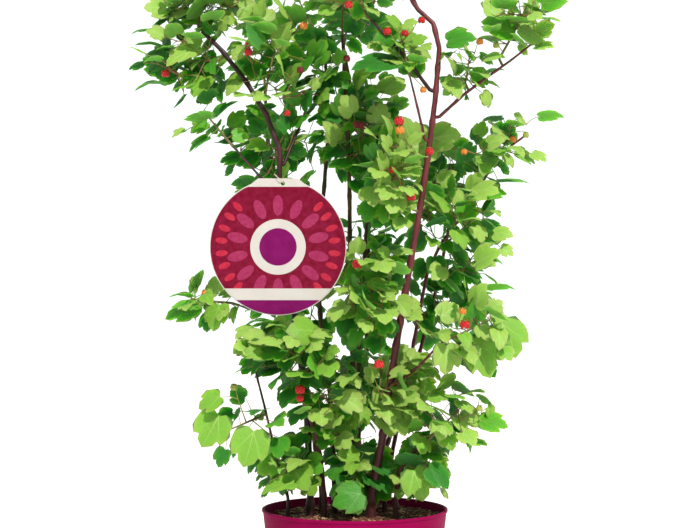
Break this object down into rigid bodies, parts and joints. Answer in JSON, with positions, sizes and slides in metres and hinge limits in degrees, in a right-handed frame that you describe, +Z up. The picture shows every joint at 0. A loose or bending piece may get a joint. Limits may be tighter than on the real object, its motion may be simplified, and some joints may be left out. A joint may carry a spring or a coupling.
{
  "type": "potted bramble",
  "caption": "Many-caned bramble bush with three-lobed leaves and small red berries, rooted in a filled round plastic pot, with a round card tag tied to one cane.",
  "frame": {"origin": "centre of the pot's flat underside", "axes": "+Z up along the pot's axis, -Y toward the front, where the tag faces, and +X to the right as seen from the front"},
  "size_m": [0.5351, 0.3079, 0.9534],
  "materials": {
    "pot_plastic": "moulded polypropylene in a deep pink, satin",
    "soil": "damp bark and peat potting soil, rough",
    "tag_card": "coated card in cream, faint gloss",
    "tag_tie": "pale plastic tie",
    "cane_bark": "young cane bark, dark maroon, satin",
    "old_cane_bark": "older cane bark, olive brown, dull",
    "foliage": "fresh green leaf, semi-matt"
  },
  "bodies": {
    "root": {"pot": "pot_plastic", "soil": "soil", "tag": "tag_card", "tag_tie": "tag_tie", "cane_main": "cane_bark", "cane_centre": "old_cane_bark", "cane_centre_right": "old_cane_bark", "cane_left_centre": "old_cane_bark", "cane_left": "cane_bark", "cane_upper_left": "cane_bark", "cane_thin_left": "cane_bark", "cane_right": "cane_bark", "cane_back_right": "cane_bark", "cane_back_left": "old_cane_bark", "cane_back_centre": "old_cane_bark", "cane_back_far": "cane_bark", "bough_right": "cane_bark", "bough_top_left": "cane_bark", "bough_inner": "cane_bark", "bough_low_right": "cane_bark", "bough_fork": "cane_bark", "bough_low_left": "cane_bark", "bough_behind_tag": "cane_bark", "mass_left_upper": "foliage", "mass_left_top": "foliage", "mass_upper_left": "foliage", "mass_low_left_bough": "foliage", "mass_over_tag": "foliage", "mass_fork": "foliage", "mass_top_front": "foliage", "mass_top": "foliage", "mass_centre_upper": "foliage", "mass_inner_top": "foliage", "mass_main_top": "foliage", "mass_right_bough": "foliage", "mass_right_top": "foliage", "mass_right_upper": "foliage", "mass_right_middle": "foliage", "mass_centre_right": "foliage", "mass_centre": "foliage", "mass_low_right": "foliage", "mass_under_tag": "foliage", "mass_left_of_tag": "foliage", "mass_left_low": "foliage", "mass_centre_low": "foliage", "mass_right_low": "foliage", "mass_low_centre": "foliage", "mass_foot_left": "foliage", "mass_foot_centre": "foliage", "mass_foot_right": "foliage", "mass_back_top_left": "foliage", "mass_back_left_upper": "foliage", "mass_back_left_middle": "foliage", "mass_back_left_low": "foliage", "mass_back_top": "foliage", "mass_back_upper": "foliage", "mass_back_middle": "foliage", "mass_back_low": "foliage", "mass_back_right_upper": "foliage", "mass_back_right_low": "foliage"}
  },
  "joints": []
}
